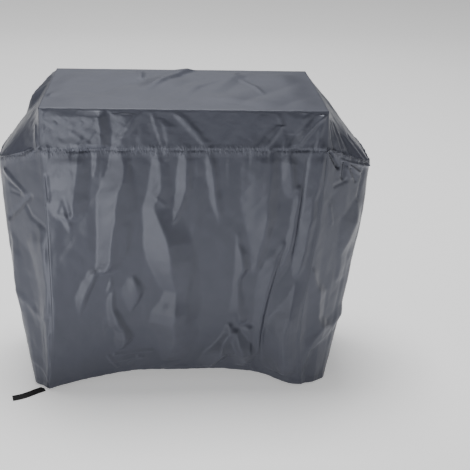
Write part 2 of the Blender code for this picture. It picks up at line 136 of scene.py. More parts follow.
# Folds with one flat side, a facet: it rises from its foot to its crest at the fold's slope,
# and the cloth falls back from there to the tail. A negative slope goes inwards. Each row is
# a Fall: how far down the piece it is, then the three places along the piece there, all in
# thousandths. A fold starts in its first row and ends in its last.
Fall = namedtuple("Fall", "down foot crest tail")
FRONT_RIDGES = {
    "corner": (0.15, [
        (0, 0, 135, 176), (100, 0, 119, 165), (150, 12, 114, 160), (200, 0, 106, 155),
        (250, 20, 100, 140), (280, 60, 85, 120)]),
    "corner fork": (-0.16, [
        (165, 66, 70, 74), (200, 54, 77, 92), (240, 34, 84, 100), (270, 60, 86, 95)]),
    "corner lobe": (0.16, [
        (205, 57, 62, 66), (250, 46, 68, 76), (290, 62, 86, 94), (325, 83, 87, 90)]),
    "corner dip": (-0.18, [
        (10, 50, 56, 62), (90, 53, 60, 66), (110, 60, 62, 64)]),
    "gather 1": (0.30, [
        (0, 178, 200, 206), (40, 168, 192, 204), (85, 172, 182, 195), (110, 178, 180, 185)]),
    "gather 2": (0.50, [
        (0, 203, 208, 212), (100, 203, 207, 211), (120, 205, 206, 207)]),
    "gather 3": (-0.30, [
        (0, 213, 238, 252), (40, 215, 228, 240), (85, 220, 222, 225)]),
    "left": (0.24, [
        (0, 252, 282, 300), (40, 238, 283, 303), (80, 222, 284, 310), (120, 202, 278, 318),
        (160, 189, 264, 325), (250, 183, 250, 325), (350, 180, 238, 315), (450, 173, 228, 290),
        (480, 166, 212, 270), (510, 165, 190, 250)]),
    "gather 4": (0.30, [
        (0, 284, 296, 302), (40, 284, 302, 308), (70, 286, 293, 300), (90, 288, 289, 290)]),
    "left low": (0.14, [
        (480, 145, 170, 190), (540, 112, 155, 175), (600, 85, 128, 150), (660, 95, 112, 130),
        (700, 104, 106, 108)]),
    "left faint": (0.06, [
        (280, 270, 295, 310), (450, 255, 290, 310)]),
    "middle": (0.22, [
        (0, 385, 402, 430), (50, 380, 413, 440), (100, 372, 417, 450), (160, 365, 413, 455),
        (200, 350, 397, 465), (230, 342, 388, 475), (270, 346, 402, 495), (320, 350, 428, 515),
        (380, 353, 448, 540), (450, 365, 457, 555), (500, 385, 462, 565), (550, 410, 475, 575),
        (600, 440, 487, 585), (650, 425, 491, 590), (700, 393, 490, 590), (750, 388, 485, 585),
        (800, 405, 496, 590), (850, 425, 491, 580), (900, 432, 480, 560), (960, 440, 458, 520)]),
    "gather 5": (0.35, [
        (0, 418, 438, 450), (30, 420, 434, 445), (50, 426, 428, 430)]),
    "middle right": (0.26, [
        (0, 468, 500, 522), (40, 473, 508, 528), (100, 466, 507, 527), (160, 461, 501, 522),
        (200, 456, 495, 515), (240, 452, 483, 505), (280, 455, 466, 485), (300, 460, 462, 465)]),
    "middle faint": (0.06, [
        (20, 518, 545, 570), (250, 515, 545, 570), (450, 495, 535, 560), (600, 490, 530, 550),
        (750, 520, 530, 540)]),
    "right of middle": (0.28, [
        (0, 560, 578, 600), (50, 563, 594, 612), (100, 568, 602, 620), (150, 578, 608, 628),
        (200, 590, 615, 635), (250, 607, 625, 645), (280, 616, 624, 640), (310, 628, 630, 632)]),
    "gather 6": (0.20, [
        (0, 648, 662, 670), (50, 640, 658, 670), (110, 648, 656, 665), (160, 658, 660, 662)]),
    "right broad": (0.18, [
        (0, 695, 800, 820), (100, 697, 808, 822), (200, 702, 806, 830), (270, 712, 808, 835),
        (330, 732, 805, 835), (400, 757, 797, 830), (480, 765, 792, 810), (520, 770, 780, 800)]),
    "right": (0.26, [
        (0, 832, 860, 878), (50, 829, 876, 893), (100, 838, 885, 900), (150, 849, 890, 905),
        (190, 870, 885, 900)]),
    "right long": (0.28, [
        (130, 895, 908, 920), (200, 892, 917, 930), (300, 893, 914, 930), (350, 886, 912, 935),
        (400, 882, 907, 930), (460, 875, 893, 915), (500, 873, 878, 890)]),
    "right corner": (0.24, [
        (0, 930, 985, 996), (100, 932, 983, 994), (200, 933, 972, 990), (300, 932, 970, 988),
        (400, 937, 968, 985), (470, 932, 960, 980), (520, 930, 945, 960)]),
    "right narrow": (0.24, [
        (330, 695, 703, 715), (380, 700, 713, 735), (430, 703, 728, 752), (500, 705, 742, 755),
        (550, 704, 727, 745), (600, 709, 732, 750), (650, 707, 741, 768), (700, 712, 745, 780),
        (740, 730, 756, 785), (770, 745, 750, 765)]),
    "right notch": (-0.12, [
        (685, 729, 731, 733), (720, 722, 732, 742), (745, 715, 733, 750)]),
    "long fold": (0.13, [
        (360, 870, 885, 890), (400, 850, 880, 888), (450, 825, 868, 878), (500, 800, 862, 873),
        (550, 797, 855, 866), (600, 797, 852, 864), (650, 802, 850, 861), (700, 808, 846, 857),
        (750, 803, 842, 854), (800, 810, 838, 851), (880, 810, 835, 846), (950, 825, 832, 840)]),
    "right low": (0.18, [
        (530, 950, 953, 1000), (620, 925, 955, 1000), (690, 885, 955, 1000), (750, 860, 945, 995),
        (800, 858, 945, 975), (850, 853, 945, 970), (900, 848, 945, 965), (970, 845, 940, 955)]),
    "right hem": (-0.20, [
        (890, 900, 908, 915), (940, 896, 912, 925), (1000, 900, 915, 930)]),
    "tent left": (0.32, [
        (755, 700, 712, 722), (800, 697, 725, 735), (850, 667, 699, 715), (900, 622, 690, 710),
        (950, 583, 650, 670), (990, 565, 620, 640)]),
    "tent middle": (0.32, [
        (775, 730, 742, 750), (800, 728, 750, 757), (850, 715, 762, 775), (900, 711, 778, 795),
        (940, 725, 780, 800), (980, 735, 760, 780)]),
    "tent right": (0.16, [
        (760, 757, 800, 806), (800, 765, 800, 810), (850, 778, 800, 812), (900, 790, 803, 813),
        (930, 800, 805, 810)]),
    "left thread": (0.35, [
        (520, 229, 232, 236), (560, 219, 228, 233), (600, 210, 216, 222)]),
    "left lower": (0.26, [
        (580, 234, 241, 245), (630, 214, 232, 240), (670, 213, 234, 244), (700, 215, 245, 258),
        (740, 225, 262, 275), (780, 250, 285, 297), (820, 247, 292, 303), (850, 255, 285, 297),
        (880, 262, 272, 280)]),
    "left diamond": (0.11, [
        (520, 300, 312, 325), (570, 272, 335, 350), (600, 270, 345, 360), (650, 285, 330, 345),
        (700, 305, 312, 320)]),
}
FRONT_YOKE_RIDGES = {
    "left broad": (0.10, [
        (0, 20, 200, 212), (500, 22, 212, 224), (950, 25, 215, 227)]),
    "left line": (0.30, [
        (30, 190, 200, 206), (500, 202, 212, 218), (950, 205, 215, 221)]),
    "second broad": (0.13, [
        (100, 242, 300, 335), (500, 240, 295, 330), (950, 235, 288, 320)]),
    "thread": (0.40, [
        (50, 333, 343, 360), (300, 305, 318, 340), (600, 278, 290, 310), (680, 270, 275, 300)]),
    "third": (0.09, [
        (350, 345, 350, 370), (600, 310, 352, 380), (950, 300, 352, 385)]),
    "third dip": (-0.35, [
        (450, 290, 296, 305), (950, 280, 296, 305)]),
    "edge": (0.50, [
        (0, 376, 383, 392), (450, 395, 402, 412), (800, 408, 415, 425), (1000, 410, 420, 430)]),
    "fourth": (0.14, [
        (200, 400, 410, 420), (400, 400, 435, 470), (900, 415, 445, 500), (1000, 420, 447, 490)]),
    "slanting": (0.20, [
        (0, 435, 462, 475), (200, 462, 492, 510), (500, 505, 535, 550), (800, 540, 562, 580),
        (930, 552, 565, 580)]),
    "faint": (0.08, [
        (100, 755, 772, 790), (500, 725, 757, 775), (950, 690, 730, 750)]),
    "fan 1": (0.26, [
        (350, 815, 835, 850), (600, 780, 815, 830), (900, 745, 775, 800), (970, 740, 760, 780)]),
    "fan 2": (0.30, [
        (50, 808, 818, 830), (300, 822, 834, 845), (420, 833, 840, 850)]),
    "fan 3": (0.14, [
        (50, 840, 920, 950), (400, 850, 900, 930), (600, 850, 870, 900)]),
    "fan 4": (0.42, [
        (80, 955, 985, 990), (300, 925, 955, 965), (600, 885, 918, 935), (850, 860, 890, 915),
        (970, 855, 870, 890)]),
    "fan 5": (0.30, [
        (100, 975, 988, 995), (500, 955, 975, 985), (950, 950, 965, 980)]),
    "fan 6": (0.30, [
        (600, 842, 850, 855), (970, 838, 850, 860)]),
}

LEFT_RIDGES = {
    "outer": (0.20, [
        (320, 728, 735, 740), (420, 715, 750, 871), (530, 695, 738, 890), (620, 690, 730, 880),
        (700, 712, 720, 740)]),
    "corner": (0.08, [
        (280, 940, 950, 1000), (360, 850, 965, 1000), (420, 871, 975, 1000), (480, 890, 975, 1000),
        (530, 905, 975, 1000), (620, 900, 975, 1000), (660, 885, 970, 1000), (710, 920, 930, 1000)]),
    "corner low": (0.09, [
        (690, 940, 950, 1000), (760, 885, 975, 1000), (800, 895, 975, 1000), (860, 905, 975, 1000),
        (950, 945, 955, 1000)]),
}
RIGHT_RIDGES = {
    "strip": (0.16, [
        (160, 205, 225, 260), (200, 190, 235, 275), (270, 145, 235, 285), (330, 145, 215, 280),
        (370, 150, 200, 270), (420, 165, 185, 260), (470, 170, 195, 270), (520, 175, 200, 280),
        (550, 190, 200, 210)]),
    "low": (0.14, [
        (470, 5, 20, 40), (520, 2, 35, 90), (580, 12, 85, 140), (640, 35, 100, 150),
        (700, 35, 105, 160), (750, 45, 150, 240), (800, 50, 100, 200), (860, 50, 60, 100)]),
}

# Each row is a Crease, a tent-shaped line from point 1 to point 2, both as shares along and
# down. It has its height out of the cloth at each end and its half widths in metres: left is
# the side with less along where the crease runs down, or the lower side where it runs right.
Crease = namedtuple("Crease", "along_1 down_1 out_1 along_2 down_2 out_2 left right")
TOP_CREASES = [
    (0.345, 0.620, 0.000, 0.385, 0.470, 0.0068, 0.024, 0.045),
    (0.385, 0.470, 0.0068, 0.430, 0.300, 0.0095, 0.024, 0.055),
    (0.430, 0.300, 0.0095, 0.530, 0.010, 0.0121, 0.030, 0.075),
    (0.330, 0.080, 0.0041, 0.335, 0.260, 0.0027, 0.016, 0.016),
    (0.360, 0.160, -0.002, 0.345, 0.340, 0.000, 0.020, 0.020),
    (0.550, 0.760, 0.000, 0.620, 0.550, 0.0045, 0.045, 0.090),
    (0.620, 0.550, 0.0045, 0.700, 0.220, 0.0055, 0.045, 0.090),
    (0.450, 0.920, 0.000, 0.550, 0.480, 0.0045, 0.030, 0.060),
    (0.550, 0.480, 0.0045, 0.680, 0.270, 0.0045, 0.030, 0.060),
    (0.720, 0.300, 0.0027, 0.765, 0.470, 0.0041, 0.012, 0.014),
    (0.765, 0.470, 0.0041, 0.790, 0.640, 0.0014, 0.012, 0.014),
    (0.020, 0.720, 0.0041, 0.090, 0.560, 0.000, 0.030, 0.030),
]
FRONT_YOKE_CREASES = [
    (0.110, 0.55, 0.0014, 0.154, 0.75, 0.0014, 0.012, 0.012),
    (0.154, 0.75, 0.0014, 0.193, 0.93, 0.0014, 0.012, 0.012),
]
FRONT_CREASES = [
    (0.223, 0.483, 0.004, 0.150, 0.505, 0.003, 0.014, 0.010),
    (0.006, 0.100, -0.005, 0.008, 0.185, -0.005, 0.010, 0.016),
    (0.195, 0.470, 0.002, 0.230, 0.460, 0.003, 0.008, 0.008),
    (0.205, 0.735, 0.003, 0.240, 0.715, 0.003, 0.008, 0.008),
    (0.205, 0.760, 0.003, 0.245, 0.735, 0.003, 0.008, 0.008),
    (0.210, 0.785, 0.002, 0.235, 0.760, 0.003, 0.008, 0.008),
    (0.400, 0.190, 0.003, 0.425, 0.215, 0.003, 0.008, 0.008),
    (0.460, 0.285, 0.003, 0.480, 0.265, 0.003, 0.008, 0.008),
    (0.704, 0.749, -0.002, 0.807, 0.752, -0.002, 0.014, 0.014),
    (0.888, 0.400, -0.002, 0.873, 0.500, -0.004, 0.007, 0.009),
    (0.873, 0.500, -0.004, 0.864, 0.600, -0.005, 0.007, 0.009),
    (0.864, 0.600, -0.005, 0.857, 0.700, -0.005, 0.007, 0.009),
    (0.857, 0.700, -0.005, 0.851, 0.800, -0.004, 0.007, 0.009),
    (0.851, 0.800, -0.004, 0.840, 0.930, -0.002, 0.007, 0.009),
    (0.930, 0.030, -0.002, 0.927, 0.250, -0.004, 0.007, 0.009),
    (0.927, 0.250, -0.004, 0.925, 0.460, -0.003, 0.007, 0.009),
    (0.925, 0.460, -0.003, 0.880, 0.560, -0.001, 0.007, 0.009),
    (0.250, 0.900, 0.005, 0.400, 0.895, 0.005, 0.010, 0.010),
    (0.240, 0.935, 0.005, 0.360, 0.930, 0.005, 0.010, 0.010),
    (0.225, 0.905, 0.005, 0.262, 0.965, 0.005, 0.010, 0.010),
    (0.310, 0.955, 0.005, 0.345, 0.925, 0.005, 0.010, 0.010),
    (0.447, 0.985, 0.004, 0.508, 0.960, 0.004, 0.012, 0.012),
    (0.795, 0.950, 0.004, 0.820, 0.990, 0.003, 0.010, 0.010),
]
RIGHT_CREASES = [
    (0.010, 0.000, -0.015, 0.075, 0.050, -0.012, 0.012, 0.012),
    (0.120, 0.028, -0.009, 0.115, 0.090, -0.009, 0.014, 0.014),
    (0.140, 0.095, -0.004, 0.070, 0.130, -0.003, 0.012, 0.010),
    (0.300, 0.012, 0.009, 0.110, 0.022, 0.0045, 0.009, 0.009),
    (0.220, 0.050, 0.0075, 0.100, 0.018, 0.0045, 0.009, 0.009),
    (0.170, 0.078, 0.006, 0.125, 0.035, 0.0045, 0.008, 0.008),
    (0.155, 0.030, -0.0045, 0.200, 0.090, -0.0045, 0.008, 0.008),
    (0.250, 0.040, -0.0045, 0.230, 0.150, -0.0045, 0.010, 0.010),
    (0.060, 0.220, 0.003, 0.085, 0.280, 0.003, 0.010, 0.010),
    (0.300, 0.710, 0.010, 0.200, 0.790, 0.009, 0.050, 0.030),
    (0.200, 0.790, 0.009, 0.085, 0.835, 0.007, 0.050, 0.026),
    (0.085, 0.835, 0.007, 0.030, 0.940, 0.004, 0.040, 0.022),
]
LEFT_CREASES = [
    (0.750, 0.050, 0.007, 0.875, 0.158, 0.004, 0.018, 0.010),
    (0.775, 0.105, -0.003, 0.850, 0.148, -0.003, 0.009, 0.009),
    (0.780, 0.140, -0.003, 0.835, 0.158, -0.003, 0.009, 0.009),
    (0.735, 0.255, -0.008, 0.905, 0.172, -0.005, 0.018, 0.014),
    (0.872, 0.205, -0.004, 0.900, 0.252, -0.004, 0.012, 0.012),
    (0.900, 0.252, -0.004, 0.985, 0.302, -0.004, 0.012, 0.012),
    (0.735, 0.590, 0.004, 0.850, 0.672, 0.005, 0.030, 0.024),
    (0.850, 0.672, 0.005, 0.990, 0.705, 0.004, 0.030, 0.020),
    (0.940, 0.680, 0.002, 0.955, 0.640, 0.002, 0.010, 0.010),
    (0.745, 0.895, 0.003, 0.860, 0.915, 0.003, 0.014, 0.034),
    (0.860, 0.915, 0.003, 0.995, 0.970, 0.003, 0.014, 0.034),
]
LEFT_YOKE_CREASES = [
    (0.10, 0.20, 0.024, 0.35, 0.30, 0.024, 0.070, 0.070),
    (0.955, 0.45, 0.004, 0.982, 0.90, 0.005, 0.022, 0.010),
    (0.80, 0.97, 0.004, 0.93, 0.92, 0.003, 0.010, 0.010),
]
RIGHT_YOKE_CREASES = [
    (0.025, 0.10, -0.003, 0.048, 0.97, -0.009, 0.010, 0.012),
    (0.070, 0.30, 0.002, 0.088, 0.95, 0.004, 0.010, 0.012),
    (0.125, 0.35, 0.003, 0.120, 0.85, 0.003, 0.012, 0.012),
    (0.160, 0.55, -0.004, 0.160, 0.95, -0.005, 0.014, 0.014),
    (0.205, 0.60, 0.004, 0.245, 0.95, 0.004, 0.016, 0.012),
    (0.270, 0.60, -0.005, 0.290, 0.95, -0.005, 0.020, 0.020),
    (0.60, 0.30, 0.006, 0.80, 0.30, 0.006, 0.080, 0.080),
]

SIDE_POINTS = {
    "front": ("front_left", "front_right"),
    "right": ("front_right", "right_front", "right_back", "back_right"),
    "back": ("back_right", "back_left"),
    "left": ("back_left", "left_back", "left_front", "front_left"),
}
TOP_CORNERS = {side: (points[0], points[-1]) for side, points in SIDE_POINTS.items()}
FOLDS = {"front": [], "right": RIGHT_FOLDS, "back": BACK_FOLDS, "left": LEFT_FOLDS}
SKIRT_CREASES = {"front": FRONT_CREASES, "right": RIGHT_CREASES, "back": [], "left": LEFT_CREASES}
SKIRT_RIDGES = {"front": FRONT_RIDGES, "right": RIGHT_RIDGES, "back": {}, "left": LEFT_RIDGES}
YOKE_RIDGES = {"front": FRONT_YOKE_RIDGES, "right": {}, "back": {}, "left": {}}
YOKE_CREASES = {
    "front": FRONT_YOKE_CREASES, "right": RIGHT_YOKE_CREASES, "back": [], "left": LEFT_YOKE_CREASES,
}

# How softly the shapes turn. Shares run along or down a piece, FOLD_EASE is in metres.
SHOULDER_SHARES = (0.30, 0.70)
SHOULDER_EASE = 0.07
LEVEL_EASE = 0.10
FOLD_LEVEL_EASE = 0.07
FRONT_HEM_EASE = 0.03
FOLD_EASE = 0.005
EASE_STEPS = (-1.0, -0.5, 0.0, 0.5, 1.0)
BACK_DRAWN_IN = {"right": 0.020, "left": 0.012}

# Ridges: the steepest back of a facet, where the skirt's are steepest and flat again, as
# shares down it, and how far a ridge runs out at its ends.
STEEPEST = 0.65
STEEPEST_AT = 0.60
FLATTER_FROM = 0.85
FLATTER_OVER = 0.15
FLATTENING = 1.1
RIDGE_END = 0.02
YOKE_RIDGE_FADE = 0.030

# A crease's tent: its peak as a share of its height, and how round its peak and foot are.
TENT_PEAK = 1.06
PEAK_ROUNDING = 0.0064
FOOT_ROUNDING = 0.006
FOOT_SUNK = 0.02

# Making up: seams, rolled edges and the turned hem, in metres.
SEAM_LAP = 0.010
SEAM_STEP = 0.0014
STEP_START = 0.004
STEP_REACH = 0.014
SEAM_GROOVE = 0.0015
GROOVE_REACH = 0.006
SEAM_BAND = 0.013
BAND_OUT = 0.0006
TOP_ROLL = 0.003
YOKE_TURN = 0.004
HEM_DEPTH = 0.025
HEM_OUT = 0.0010
HEM_OFFSET = 0.004
HEM_EDGE = 0.004

# The gathered seam follows the skirt's folds by this share. Its puckers are fine and wide
# ruffles, and they die away over their reach on yoke and skirt.
SEAM_SHARE = 0.45
BULGE_REACH = 0.06
FOLD_START = 0.05
PUCKER_SEED = 40
PUCKER_SHARE = 0.6
FINE_PUCKER = 0.011
WIDE_PUCKER = 0.027
PUCKER_REACH = 0.012
LONG_PUCKER_REACH = 0.045
YOKE_PUCKER = 0.0034
SKIRT_PUCKER = 0.0020
LONG_PUCKER = 0.0014

# The cloth's own unevenness: smooth waves, and dents that are flat facets with soft creases
# between them. Each has the seed that fixes it, its height and its size, in metres.
Wave = namedtuple("Wave", "seed out across lower")
Dent = namedtuple("Dent", "seed out size")
TOP_SWELL = Wave(3, 0.0045, 0.16, 0.12)
TOP_DENT = Dent(5, 0.0060, 0.16)
TOP_RIM_WAVE = Wave(7, 0.0003, 0.04, 0.04)
RIM_WAVE_REACH = 0.03
YOKE_DENT = Dent(11, 0.0016, 0.06)
YOKE_SMALL_DENT = Dent(13, 0.0011, 0.025)
YOKE_WOBBLE = Wave(31, 0.002, 0.05, 0.030)
CRUSHED_MORE = 0.5
CRUSHED_SHARE = 0.45
SKIRT_DENT = Dent(21, 0.0030, 0.11)
SKIRT_SMALL_DENT = Dent(25, 0.0009, 0.034)
SKIRT_WAVE = Wave(23, 0.0008, 0.03, 0.09)
SKIRT_WOBBLE = Wave(31, 0.0030, 0.05, 0.040)
SKIRT_DRIFT = Wave(33, 0.003, 0.09, 0.10)
WOBBLE_START = 0.02
HEM_WAVE = Wave(27, 0.0012, 0.016, 0.05)
DENT_MIDDLE = 0.5
DENT_SLANT = (0.8, 0.6)
DENT_LENGTH = 1.7
SECOND_DENT_SIZE = 0.6
SECOND_DENT_SHARE = 0.5
DENT_SOFTNESS = 0.004

# Relief dies away over these distances from the sides and the upper and lower edges.
Fade = namedtuple("Fade", "sides upper lower")
TOP_CREASE_FADE = Fade(0.028, 0.028, 0.056)
TOP_SWELL_FADE = Fade(0.12, 0.10, 0.14)
YOKE_FADE = Fade(0.015, 0.012, 0.012)
SKIRT_FADE = Fade(0.015, 0.010, None)

# Each grid's cells across and down, how much finer they are near its edges, the step that
# a surface's normal is taken over, and the seam distance of pieces with no gathered seam.
TOP_CELLS = (190, 116)
YOKE_CELLS = {"front": (230, 60), "back": (150, 60), "left": (150, 60), "right": (150, 60)}
SKIRT_CELLS = {"front": (300, 158), "back": (150, 130), "left": (150, 160), "right": (150, 160)}
TIE_CELLS = (60, 8)
TOP_CROWDING = 0.8
SIDE_CROWDING = 0.4
DROP_CROWDING = 0.5
NORMAL_STEP = 0.002
UNGATHERED = 0.25

# The tie's middle line, as in the part's source. Its back edge lies a little higher.
TIE_WIDTH = 0.022
TIE_THICKNESS = 0.0016
TIE_LYING = GROUND + TIE_THICKNESS + 0.0006
TIE_ROUTE = [
    (-0.556, -0.300, -1.1550),
    (-0.568, -0.306, TIE_LYING),
    (-0.586, -0.317, TIE_LYING),
    (-0.618, -0.342, TIE_LYING),
    (-0.645, -0.357, TIE_LYING),
    (-0.673, -0.366, TIE_LYING),
]
TIE_EASE = 0.08
TIE_RUN_STEP = 0.01
TIE_LIFT = 0.010
TIE_LIFT_SHARE = 0.2
TIE_WEAVE_LENGTH = 0.15
TIE_PATH_POINTS = 30

# Colours, and the studio round the cover.
CLOTH_DARKER = (0.056, 0.060, 0.081, 1.0)
CLOTH_LIGHTER = (0.064, 0.068, 0.091, 1.0)
CLOTH_SHEEN = (0.87, 0.90, 1.0, 1.0)
WEBBING_BLACK = (0.012, 0.012, 0.013, 1.0)
FLOOR_PALE = (0.93, 0.93, 0.93, 1.0)
WHITE = (1.0, 1.0, 1.0, 1.0)
FLOOR_HALF = 14.0
FLOOR_MIDDLE = (0.0, 4.0, GROUND)
SKY_STRENGTH = 0.115
Softbox = namedtuple("Softbox", "name place target size watts")
SOFTBOXES = [
    Softbox("top", (-0.4, 1.2, 7.0), (-0.4, 1.1, -0.5), (4.0, 3.0), 665.0),
    Softbox("back", (0.0, 7.0, 1.6), (0.0, 0.0, 0.0), (5.0, 2.2), 16.0),
    Softbox("key", (-3.5, -2.1, 1.2), (0.0, 0.0, -0.5), (2.0, 2.0), 4.0),
    Softbox("floor glow", (-1.25, -2.35, -1.14), (-1.25, -2.35, 1.0), (1.1, 2.9), 31.0),
    Softbox("low front", (-2.9, -5.0, -0.3), (0.0, -0.3, -0.4), (2.6, 1.7), 30.0),
    Softbox("fill", (3.4, -1.8, 0.3), (0.0, 0.0, -0.5), (1.6, 1.6), 3.0),
]

# The photograph's camera, from its perspective.
CAMERA_PLACE = (-0.0676, -3.4709, 0.8462)
CAMERA_YAW = math.radians(4.632)
CAMERA_PITCH = math.radians(-22.791)
CAMERA_ROLL = math.radians(1.547)
CAMERA_LENS = 70.0
CAMERA_SENSOR = 36.0


def smooth(value):
    """An even S from 0 to 1 as the value goes from 0 to 1."""
    value = np.clip(value, 0.0, 1.0)
    return value * value * (3.0 - 2.0 * value)


def straight(shares, values, at):
    """The value at a share, on straight runs between the shares, carried on past both ends."""
    result = values[0]
    runs = len(shares) - 1
    for run in range(runs):
        part = (at - shares[run]) / (shares[run + 1] - shares[run])
        if run > 0:
            part = np.maximum(part, 0.0)
        if run < runs - 1:
            part = np.minimum(part, 1.0)
        result = result + (values[run + 1] - values[run]) * part
    return result


def eased(shares, values, at, reach):
    """The same, with each bend rounded over a reach to both sides of it."""
    return sum(straight(shares, values, at + reach * step) for step in EASE_STEPS) / len(EASE_STEPS)


def level_value(column, down):
    """A column of the level table at a share down the skirt."""
    return eased([row.down for row in LEVELS], [getattr(row, column) for row in LEVELS], down, LEVEL_EASE)


def plan_point(name, down):
    """One of the eight points of the skirt's plan, at a share down from seam to hem."""
    front, back = -0.5 * TOP_DEPTH, 0.5 * TOP_DEPTH
    depth = level_value("shoulder_depth", down)
    places = {
        "front_left": (level_value("corner_left", down), front),
        "front_right": (level_value("corner_right", down), front),
        "right_front": (level_value("shoulder_right", down), -depth),
        "right_back": (level_value("shoulder_right", down), depth),
        "back_right": (0.5 * TOP_WIDTH - BACK_DRAWN_IN["right"] * down, back),
        "back_left": (-0.5 * TOP_WIDTH + BACK_DRAWN_IN["left"] * down, back),
        "left_back": (level_value("shoulder_left", down), depth),
        "left_front": (level_value("shoulder_left", down), -depth),
    }
    across, deep = places[name]
    post = POSTS[name]
    height = post.seam + (post.hem - post.seam) * down
    return np.array([across + 0.0 * down, deep + 0.0 * down, height])


def skirt_base(side, along, down):
    """Points of a skirt piece before its folds, as rows x, y and z."""
    names = SIDE_POINTS[side]
    if len(names) == 4:
        shares = (0.0, *SHOULDER_SHARES, 1.0)
        return eased(shares, [plan_point(name, down) for name in names], along, SHOULDER_EASE)
    left, right = (plan_point(name, down) for name in names)
    points = left + (right - left) * along
    if side == "front":
        stops = [row.along for row in FRONT_HEM]
        inward = eased(stops, [row.inward for row in FRONT_HEM], along, FRONT_HEM_EASE)
        height = eased(stops, [row.height for row in FRONT_HEM], along, FRONT_HEM_EASE)
        seam = POSTS["front_left"].seam * (1.0 - along) + POSTS["front_right"].seam * along
        points[1] += inward * np.maximum(down, 0.0) ** DRAW_IN_POWER
        points[2] = seam + (height - seam) * down
    return points


def top_corner(name):
    """A corner of the top panel's outer face."""
    across = 0.5 if name.endswith("right") else -0.5
    deep = 0.5 if name.startswith("back") else -0.5
    return np.array([[across * TOP_WIDTH], [deep * TOP_DEPTH], [CLOTH - TOP_CORNER_DROP[name]]])


def top_base(along, down):
    """Points of the top panel before its creases; down runs from the back to the front."""
    back = top_corner("back_left") * (1.0 - along) + top_corner("back_right") * along
    front = top_corner("front_left") * (1.0 - along) + top_corner("front_right") * along
    return back + (front - back) * down


def yoke_base(side, along, down):
    """Points of a yoke piece: straight runs from the top's edge to the gathered seam."""
    first, last = (top_corner(name) for name in TOP_CORNERS[side])
    upper = first + (last - first) * along
    return upper + (skirt_base(side, along, 0.0 * down) - upper) * down


def fold_relief(side, along, down, width):
    """How far the hanging folds stand out."""
    count = len(FOLD_LEVELS)
    places = [0.0 * down - 1e-4]
    heights = [0.0 * down]
    for row in map(Fold._make, FOLDS[side]):
        places.append(eased(FOLD_LEVELS, row[:count], down, FOLD_LEVEL_EASE))
        heights.append(eased(FOLD_LEVELS, row[count:], down, FOLD_LEVEL_EASE))
    places.append(0.0 * down + 1.0001)
    heights.append(0.0 * down)
    return eased(places, heights, along, FOLD_EASE / width)


def ridge_relief(ridges, along, down, width, steeper=0.0):
    """The ridges' facets on a piece of this width, steeper towards the middle of its height
    by this share and nearly flat at its hem."""
    relief = 0.0 * along
    flatter = FLATTENING * smooth((down - FLATTER_FROM) / FLATTER_OVER)
    growth = 1.0 + steeper * (smooth(down / STEEPEST_AT) - flatter)
    for slope, rows in ridges.values():
        falls = [Fall(*(place / 1000 for place in row)) for row in rows]
        levels = [fall.down for fall in falls]
        foot = np.interp(down, levels, [fall.foot for fall in falls])
        crest = np.interp(down, levels, [fall.crest for fall in falls])
        tail = np.interp(down, levels, [fall.tail for fall in falls])
        rise = slope * growth * (crest - foot) * width
        tail = np.maximum(tail, crest + np.abs(rise) / (STEEPEST * width))
        inside = 0.0 * down
        for step in EASE_STEPS:
            place = along + step * FOLD_EASE / width
            climb, drop = (place - foot) / (crest - foot), (tail - place) / (tail - crest)
            inside += np.clip(np.minimum(climb, drop), 0.0, 1.0)
        starts = smooth((down - levels[0]) / RIDGE_END + (levels[0] <= 0))
        stops = smooth((levels[-1] - down) / RIDGE_END + (levels[-1] >= 1))
        relief += rise * (starts * stops) * inside / len(EASE_STEPS)
    return relief


def crease_relief(creases, along, down, width, height):
    """The creases' tents on a piece of this width and height; the larger tent wins."""
    relief = 0.0 * along
    for crease in map(Crease._make, creases):
        run = np.array([(crease.along_2 - crease.along_1) * width,
                        (crease.down_2 - crease.down_1) * height])
        length = math.hypot(*run)
        right, lower = (along - crease.along_1) * width, (down - crease.down_1) * height
        part = np.clip((right * run[0] + lower * run[1]) / length ** 2, 0.0, 1.0)
        away = np.hypot(right - run[0] * part, lower - run[1] * part)
        side = (right * run[1] - lower * run[0]) / length
        half = crease.left + (crease.right - crease.left) * smooth(0.5 + side / (2.0 * FOLD_EASE))
        tent = TENT_PEAK - np.sqrt((away / half) ** 2 + PEAK_ROUNDING)
        tent = 0.5 * (tent + np.sqrt(tent ** 2 + FOOT_ROUNDING)) - FOOT_SUNK
        tent = (crease.out_1 + (crease.out_2 - crease.out_1) * part) * np.maximum(tent, 0.0)
        relief = np.where(np.abs(tent) > np.abs(relief), tent, relief)
    return relief


def wander(seed, across, lower, step_across, step_lower):
    """Smooth unevenness from -1 to 1, with these steps in metres; the seed fixes it."""
    chance = np.random.default_rng(seed)
    column = (across - across.min()) / step_across
    row = (lower - lower.min()) / step_lower
    lattice = chance.uniform(-1.0, 1.0, (int(row.max()) + 3, int(column.max()) + 3))
    left, upper = column.astype(int), row.astype(int)
    right_part, lower_part = smooth(column - left), smooth(row - upper)
    above = lattice[upper, left] * (1 - right_part) + lattice[upper, left + 1] * right_part
    below = lattice[upper + 1, left] * (1 - right_part) + lattice[upper + 1, left + 1] * right_part
    return above * (1 - lower_part) + below * lower_part


def wave_relief(wave, across, lower):
    """How far one of the smooth waves stands out."""
    return wave.out * wander(wave.seed, across, lower, wave.across, wave.lower)


